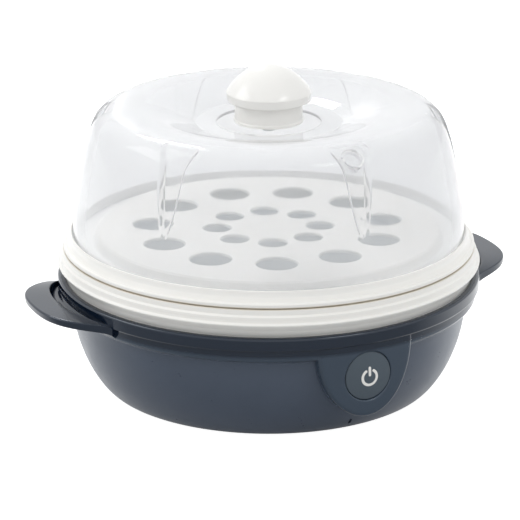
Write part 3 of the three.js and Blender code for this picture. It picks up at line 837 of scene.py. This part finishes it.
def base_housing():
    pod = combined(pod_body(), [housing_core()], "DIFFERENCE")
    whole = combined(housing_shell(), [ear(1), ear(-1), pod], "UNION")
    slot = stadium(DRAIN_LENGTH, DRAIN_WIDTH, math.pi / 2, 0, 0)
    drain = skin([[(x, -reach, DRAIN_Z + z) for x, z in slot(0)] for reach in (100, 125)])
    low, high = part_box("cord_inlet")
    cord_z = (low[2] + high[2]) / 2 / MM
    cord_hole = skin([[(x, y, cord_z + z) for x, z in circle(CORD_HOLE_R, SMALL)] for y in (100, 130)])
    whole = combined(whole, [pod_hollow(), drain, cord_hole], "DIFFERENCE")
    piece("housing", whole, LOOKS["slate_gloss"], "base", "slate_gloss", "base_housing")


# ---- Button and its mark ------------------------------------------------
def crown(radius):
    """Distance of the button's face from the Z axis at a radius from the button's centre."""
    return BUTTON_FRONT - 0.08 - 2.2 * (radius / BUTTON_R) ** 2


def power_button():
    face = [(r, crown(r)) for r in (BUTTON_R - 1.3, 12, 9, 6, 3, 0)]
    body = rounded([
        (0, BUTTON_BACK), (3, BUTTON_BACK, 0.4), (3, 130.4, 0.6), (14.2, 130.4, 0.4), (14.2, 129, 0.3),
        (FLANGE_R, 129, 0.3), (FLANGE_R, 130.6, 0.3), (BUTTON_R, 131, 0.2), (BUTTON_R, crown(BUTTON_R), 1.0),
        face[0], (0, BUTTON_FRONT),
    ])[:-2]
    bm = at_button(lathe([*body, *face], MID))
    piece("button", bm, LOOKS["slate_matte"], "button", "slate_matte", "power_button")


def stroke(path, width):
    """A thin raised inlay along (x, z) points on the button's face, with round ends."""
    half = width / 2

    def cap(tip, outward, along, order):
        """Stations that narrow to a round end beyond the tip."""
        steps = 6
        for i in order(range(steps)):
            a = math.pi / 2 * i / steps
            stations.append((tip + outward.normalized() * half * math.cos(a), along, half * math.sin(a)))

    start, after = Vector(path[0]), Vector(path[1])
    before, end = Vector(path[-2]), Vector(path[-1])
    stations = []
    cap(start, start - after, after - start, iter)
    for i, p in enumerate(path):
        ahead = Vector(path[min(i + 1, len(path) - 1)]) - Vector(path[max(i - 1, 0)])
        stations.append((Vector(p), ahead, half))
    cap(end, end - before, end - before, reversed)
    section = ((-1, -0.3), (-1, 0.03), (-0.85, 0.07), (0, 0.07), (0.85, 0.07), (1, 0.03), (1, -0.3))
    rows = []
    for middle, ahead, reach in stations:
        side = Vector((-ahead.y, ahead.x)).normalized() * max(reach, 0.02)
        row = []
        for share, lift in section:
            spot = middle + side * share
            row.append((spot.x, -(crown(spot.length) + lift), BUTTON_Z + spot.y))
        rows.append(row)
    return skin(rows)


def power_mark():
    """The usual power sign: a broken ring and a bar."""
    radius = 4.95
    gap = math.radians(32)
    width = 1.75
    lower = -0.6
    steps = 48
    arc = []
    for i in range(steps + 1):
        a = math.pi / 2 + gap + (2 * math.pi - 2 * gap) * i / steps
        arc.append((radius * math.cos(a), lower + radius * math.sin(a)))
    bar = [(0, lower + 1.6 + 4.6 * i / 4) for i in range(5)]
    bm = merged([stroke(arc, width), stroke(bar, width)])
    piece("power_mark", bm, LOOKS["white_knob"], "button", "white_knob")


# ---- Water bowl, plate and seal -----------------------------------------
def water_bowl():
    outer = [p[:2] for p in hung(BOWL_R, BOWL_TOP, [
        (0, 0), (0, 2), (7.6, 2), (11.2, 5.3), (18.2, 14.3), (21.7, 24.3), (26.2, 35.3), (33.2, 45.3),
        (70.2, 46.5),
    ])]
    under = [(r, z, 2.5) for r, z in outer[2:-1]]
    inner = [(p[0], p[1], 4) for p in hung(BOWL_R, BOWL_TOP, [
        (34.2, 43.1), (28.4, 34.3), (24, 23.7), (20.4, 13.3), (13.3, 4.1),
    ])]
    profile = [
        (*outer[0], 0.4), (*outer[1], 0.4), *under, outer[-1], (outer[-1][0], outer[-1][1] + 2.2, 0.6),
        *inner, (BOWL_R - 10, BOWL_TOP, 1.2),
    ]
    posts = [prism(circle(3.8, SMALL, x, y), 5.7, 27.2) for x, y in ring(4, SCREW_RING)]
    holes = [prism(circle(1.6, 24, x, y), 4, 20) for x, y in ring(4, SCREW_RING)]
    bm = combined(lathe(rounded(profile), MID), posts, "UNION")
    bm = combined(bm, holes, "DIFFERENCE")
    piece("bowl", bm, LOOKS["dark_liner"], "base", "dark_liner", "water_bowl")


def heating_plate():
    flat = PLATE_R - 19
    foot = PLATE_FOOT
    profile = rounded([
        (0, PLATE_TOP), (10, PLATE_TOP, 3), (12, PLATE_TOP - 0.25, 1), (flat - 6, PLATE_TOP - 0.25, 1),
        (flat - 4, PLATE_TOP, 1), (flat, PLATE_TOP, 1.5), (flat + 4, foot + 0.8, 1.2),
        (PLATE_R, foot + 0.8, 0.3), (PLATE_R, foot, 0.3), (flat + 3.4, foot, 1.4),
        (flat - 0.4, PLATE_TOP - 0.9, 1.2), (0, PLATE_TOP - 0.9),
    ])
    piece("plate", lathe(profile, MID), LOOKS["brushed_plate"], "base", "brushed_plate", "heating_plate")
    inner = SEAL_R - 12
    seal = rounded([
        (inner, SEAL_FOOT, 0.2), (SEAL_R, SEAL_FOOT, 0.2), (SEAL_R, SEAL_FOOT + 0.6, 0.3),
        (inner + 3.2, SEAL_FOOT + 0.6, 0.6), (inner + 3.2, SEAL_TOP, 0.9), (inner, SEAL_TOP, 0.9),
    ])
    piece("seal", lathe(seal, MID), LOOKS["silicone"], "base", "silicone", "plate_seal")


# ---- Underside ----------------------------------------------------------
def bottom_cover():
    profile = rounded([
        (0, COVER_FOOT), (70, COVER_FOOT, 0.4), (71, COVER_FOOT + 0.5, 0.4), (73, COVER_FOOT + 0.5, 0.4),
        (74, COVER_FOOT, 0.4), (COVER_R, COVER_FOOT, 0.6), (COVER_R, COVER_TOP, 0.4), (0, COVER_TOP),
    ])
    holes = [round_hole(2.1, x, y, COVER_FOOT, COVER_TOP, 0.4) for x, y in ring(4, SCREW_RING)]
    vents = [
        spool(stadium(34, 3, math.pi / 2, i * 9, 0), COVER_FOOT, COVER_TOP, 0.4) for i in (-2, -1, 0, 1, 2)
    ]
    bm = combined(lathe(profile, MID), holes + vents, "DIFFERENCE")
    piece("cover", bm, LOOKS["dark_liner"], "base", "dark_liner", "bottom_cover")


def feet():
    for i in range(1, 5):
        low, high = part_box(f"foot_{i}")
        x, y = (low[0] + high[0]) / 2 / MM, (low[1] + high[1]) / 2 / MM
        radius, top = (high[1] - low[1]) / 2 / MM, high[2] / MM
        profile = rounded([
            (0, 0), (2.5, 0, 0.3), (3, 0.5, 0.3), (4.4, 0.5, 0.3), (4.9, 0, 0.3), (radius - 0.2, 0, 0.7),
            (radius, top, 0.3), (0, top),
        ])
        bm = shifted(lathe(profile, SMALL), x, y)
        piece(f"rubber_foot_{i}", bm, LOOKS["rubber"], "base", "rubber", f"foot_{i}")


def cross_head(profile, face_z, arm, width, x=0.0, y=0.0):
    """A screw turned from its profile, with a cross recess 1.1 mm deep in the head's face at face_z."""
    bars = []
    for turn in (0, math.pi / 2):
        outline = stadium(arm, width, turn, 0, 0, 4)
        bars.append(prism(outline(0), face_z - 0.5, face_z + 1.1))
    return shifted(combined(lathe(profile, SMALL), bars, "DIFFERENCE"), x, y)


def cover_screws():
    for i, (x, y) in enumerate(ring(4, SCREW_RING), 1):
        low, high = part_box(f"cover_screw_{i}")
        foot, top = low[2] / MM, high[2] / MM
        profile = rounded([
            (0, foot), (2.4, foot, 0.6), (3.5, foot + 0.9, 0.6), (3.6, foot + 1.8, 0.2),
            (1.3, foot + 1.8, 0.2), (1.3, top - 0.8, 0.3), (0, top),
        ])
        bm = cross_head(profile, foot, 3.6, 0.8, x, y)
        piece(f"screw_{i}", bm, LOOKS["steel"], "base", "steel", f"cover_screw_{i}")


def cord_inlet():
    low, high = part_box("cord_inlet")
    near, far = low[1] / MM, high[1] / MM
    middle = (low[2] + high[2]) / 2
    profile = rounded([
        (3.3, near, 0.5), (9, near, 0.5), (9, near + 2.6, 0.5), (6, near + 3.6, 0.3), (6, far - 0.4, 0.3),
        (6.2, far - 0.2, 0.2), (5.4, far, 0.3), (3.3, far, 0.5),
    ])
    bm = lathe(profile, SMALL)
    bm = moved(bm, Matrix.Translation((0, 0, middle)) @ Matrix.Rotation(-math.pi / 2, 4, "X"))
    piece("inlet", bm, LOOKS["rubber"], "base", "rubber", "cord_inlet")


# ---- Basket and tray ----------------------------------------------------
def lower_basket():
    profile = rounded([
        (0, BASKET_FOOT), *hung(BASKET_R, BASKET_TOP, [
            (42.5, 60.7, 5), (36.5, 56.9, 4), (31.1, 46.4, 8), (27.5, 35.5, 8), (20.5, 26.1, 4),
            (16.7, 22, 1), (5.4, 22, 0.8), (5.1, 17.9, 0.6), (2.9, 13.3, 3), (0.3, 9.9, 1.2), (0, 9, 0.7),
            (1.5, 8, 0.5), (1.75, 6.6, 0.2), (1.75, 6.0, 0.2), (1.9, 4.5, 0.3), (3.3, 3.5, 0.4),
            (3.6, 0.6, 0.3), (4.3, 0, 0.4), (6.6, 0, 0.5), (8.9, 19.5, 2), (18.9, 20.3, 2), (29.5, 34.3, 6),
            (33.1, 45.5, 8), (38.1, 55.5, 5), (43.5, 58.5, 4),
        ]),
        (30, BASKET_TOP - 58.5, 0.4), (29.4, BASKET_TOP - 57.9, 0.4), (27.6, BASKET_TOP - 57.9, 0.4),
        (27, BASKET_TOP - 58.5, 0.4), (0, BASKET_TOP - 58.5),
    ])
    floor_low, floor_top = BASKET_FOOT, BASKET_TOP - 58.5
    slots = []
    slot_ring = 66
    for i in range(8):
        angle = i * math.pi / 4
        outline = stadium(44, 13, angle, slot_ring * math.cos(angle), slot_ring * math.sin(angle))
        slots.append(spool(outline, floor_low, floor_top, 0.6))
    slots.append(round_hole(16, 0, 0, floor_low, floor_top, 0.6))
    bm = combined(lathe(profile), slots, "DIFFERENCE")
    piece("basket", bm, LOOKS["white_plastic"], "basket", "white_plastic", "lower_basket")


def perforated_tray():
    floor_top = TRAY_TOP
    floor_low = floor_top - 2.2
    lip_foot = SEAM_Z
    channel = 96.6  # underside of the channel between the tray's floor and its skirt
    profile = rounded([
        (0, floor_low), (109.6, floor_low, 1), (111.6, channel, 1), (TRAY_R - 5.5, channel, 0.3),
        (TRAY_R - 5.5, TRAY_FOOT, 0.3), (TRAY_R - 3.2, TRAY_FOOT, 0.4), (TRAY_R - 3.2, lip_foot, 0.2),
        (TRAY_R - 0.4, lip_foot, 0.4), (TRAY_R, lip_foot + 0.7, 0.4), (TRAY_R, 97.7, 0.5),
        (TRAY_R - 0.6, 98.3, 0.4), (TRAY_R - 2.4, 98.5, 1), (TRAY_R - 3.9, 101.4, 3), (TRAY_R - 4.4, 104, 2),
        (TRAY_R - 4.7, floor_top - 0.1, 0.5), (TRAY_R - 5.7, floor_top - 0.1, 0.4), (TRAY_R - 5.8, 98.6, 0.6),
        (113.6, 98.6, 1.5), (111.8, 104.2, 1), (110.4, floor_top, 1), (0, floor_top),
    ])
    holes = [round_hole(13.4, x, y, floor_low, floor_top, 0.7, 56) for x, y in ring(11, 75.5, 181.3)]
    holes += [round_hole(9.4, x, y, floor_low, floor_top, 0.7, 48) for x, y in ring(8, 33.5, 22.5)]
    bm = combined(lathe(profile), holes, "DIFFERENCE")
    piece("tray", bm, LOOKS["white_plastic"], "tray", "white_plastic", "perforated_tray")


# ---- Dome ---------------------------------------------------------------
def ease(value, start, end):
    """0 before start, 1 after end, and an even S between them."""
    t = min(max((value - start) / (end - start), 0), 1)
    return t * t * (3 - 2 * t)


def dome_wall():
    """The dome's outer profile from the foot to the rim of the screw hole."""
    side = smooth([p[:2] for p in hung(DOME_R, DOME_TOP, [
        (0, 87.7), (0.1, 76.6), (1.1, 65.2), (3.1, 53.6), (5.4, 40.3), (7.8, 28.6), (10.5, 18.6),
        (13.1, 11.6), (16, 6.6), (19.8, 3.1), (24.8, 1.1), (31.5, 0.2), (41, 0), (50, 1), (61, 3.7),
    ])], 8)
    dish = rounded([side[-2], (DOME_R - 72, DOME_TOP - 7, 4), (DOME_R - 79.5, DOME_TOP - 9.6, 4),
                    (34, DOME_TOP - 9.9, 2), (2.6, DOME_TOP - 9.9)], 8)
    return [*side[:-2], *dish[:-1]]


def fluted(angle_share, flute, radius, z):
    """Angle and inward press of a column of the wall, counted from the middle of a flute.

    The columns crowd together at the flute's steep side walls, whatever its width there.
    """
    rise = (z - FLUTE_TIP_Z) / (FLUTE_TOP_Z - FLUTE_TIP_Z)
    half = FLUTE_HALF * math.sqrt(min(max(rise, 0.01), 1)) + 3.5 * ease(z, 174, 185)
    outer = half + 0.5
    inner = half - min(2.0, half * 0.8)
    drum = max(radius, 105)
    edge = drum * math.pi / FLUTES
    side = 1 if angle_share >= 0 else -1
    share = abs(angle_share)
    if share <= 1:
        off = inner * share
    elif share <= 2:
        off = inner + (outer - inner) * (share - 1)
    else:
        off = outer + (edge - outer) * (share - 2)
    press = FLUTE_DEPTH * ease(rise, -0.02, 0.4) * ease(-off, -outer, -inner) * ease(radius, 98, 113)
    return flute * 2 * math.pi / FLUTES + side * off / drum + math.radians(DOME_TURN_DEG), press


def vent_ring():
    """The raised ring round the steam vent, on the shoulder in the front flute."""
    profile = rounded([(VENT_R - 1.7, -3.2), (VENT_R, -3.2), (VENT_R, 1.5, 0.7), (VENT_R - 1.7, 1.5, 0.7)])
    turn = Matrix.Rotation(math.radians(-DOME_TURN_DEG), 4, "Z")
    place = Matrix.Translation(Vector((0, -107.4, 178.8)) * MM)
    return moved(lathe(profile, 64), turn @ place @ Matrix.Rotation(math.radians(40), 4, "X"))


def dome():
    outer = dome_wall()
    normals = []
    for i in range(len(outer)):
        a, b = Vector(outer[max(i - 1, 0)]), Vector(outer[min(i + 1, len(outer) - 1)])
        along = (b - a).normalized()
        normals.append(Vector((-along.y, along.x)))
    floor_share = [0, 0.5]
    wall_share = [1 + i / 7 for i in range(8)]
    plain_share = [2 + i / 11 for i in range(1, 12)]
    half = floor_share + wall_share + plain_share
    shares = [-s for s in reversed(half[1:-1])] + half
    columns = [(share, flute) for flute in range(FLUTES) for share in shares]

    def row(i, depth):
        radius, z = outer[i]
        level = z + normals[i].y * depth * (i > 0)
        points = []
        for share, flute in columns:
            angle, press = fluted(share, flute, radius, z)
            r = radius + normals[i].x * depth - press
            points.append((-r * math.sin(angle), -r * math.cos(angle), level))
        return points

    count = len(outer)
    rows = [row(i, 0) for i in range(count)]
    rows += [row(i, DOME_WALL) for i in reversed(range(count))]
    bm = combined(skin(rows, loop=True), [vent_ring()], "UNION")
    piece("dome_shell", bm, LOOKS["clear_plastic"], "lid", "clear_plastic", "dome", sharp_deg=50)


# ---- Knob ---------------------------------------------------------------
def knob():
    collar = rounded([
        (4, COLLAR_FOOT + 2, 0.3), (4, COLLAR_FOOT, 0.3), (COLLAR_R - 0.1, COLLAR_FOOT, 0.5),
        (COLLAR_R, COLLAR_FOOT + 1.6, 0.4), (COLLAR_R - 0.7, COLLAR_FOOT + 2.2, 0.8),
        (COLLAR_R - 0.9, COLLAR_TOP, 0.5), (18, COLLAR_TOP, 0.5), (18, COLLAR_FOOT + 2, 1),
    ])
    piece("collar", lathe(collar, MID), LOOKS["white_knob"], "lid", "white_knob", "knob_collar")

    steps = 28
    rise = KNOB_TOP - KNOB_EDGE_Z
    crown_curve = []
    for i in range(1, steps):
        a = i / steps * math.pi / 2
        crown_curve.append((KNOB_R * math.cos(a), KNOB_EDGE_Z + rise * math.sin(a) ** KNOB_CROWN))
    crown_curve.append((0, KNOB_TOP))
    under = COLLAR_TOP + 0.3
    bore_end = KNOB_FOOT + 8.9
    inside = KNOB_FOOT + 14.9
    body = rounded([
        (0, bore_end), (2.1, bore_end, 0.2), (2.1, KNOB_FOOT, 0.2), (5.4, KNOB_FOOT, 0.4), (5.4, inside, 0.6),
        (17, inside, 1), (17, under, 0.4), (24.6, under, 1), (26.6, under + 0.6, 1),
        (KNOB_R - 0.15, KNOB_EDGE_Z - 0.4, 0.3), (KNOB_R - 0.05, KNOB_EDGE_Z + 0.4, 0.4), crown_curve[0],
        (0, KNOB_TOP),
    ])[:-2]
    piece("cap", lathe([*body, *crown_curve], MID), LOOKS["white_knob"], "lid", "white_knob", "knob_cap")

    radius, foot, top = span("knob_seal")
    washer = rounded([(2.6, foot, 0.3), (radius, foot, 0.5), (radius, top, 0.4), (2.6, top, 0.3)])
    piece("washer", lathe(washer, SMALL), LOOKS["silicone"], "lid", "silicone", "knob_seal")
    radius, foot, top = span("knob_screw")
    screw = rounded([
        (0, foot), (3.6, foot, 1), (radius, foot + 1.2, 0.6), (radius, foot + 2.2, 0.2),
        (1.8, foot + 2.2, 0.2), (1.8, top - 0.6, 0.4), (0, top),
    ])
    piece("lid_screw", cross_head(screw, foot, 5.6, 1.1), LOOKS["steel"], "lid", "steel", "knob_screw")


# ---- CAD nodes that keep their shape ------------------------------------
KEPT = {
    "heat_spreader": "aluminium",
    "plate_clamp": "aluminium",
    "heater_element": "steel",
    "thermostat": "aluminium",
    "thermal_fuse": "silicone",
    "control_board": "circuit_board",
    "tact_switch": "dark_liner",
    "indicator_lamp": "lamp",
    "button_guide": "dark_liner",
    "button_spring": "steel",
}


def dress_kept_nodes():
    for node, look in KEPT.items():
        for material_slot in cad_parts[node].material_slots:
            material_slot.material = LOOKS[look]


base_housing()
power_button()
power_mark()
water_bowl()
heating_plate()
bottom_cover()
feet()
cover_screws()
cord_inlet()
lower_basket()
perforated_tray()
dome()
knob()
dress_kept_nodes()
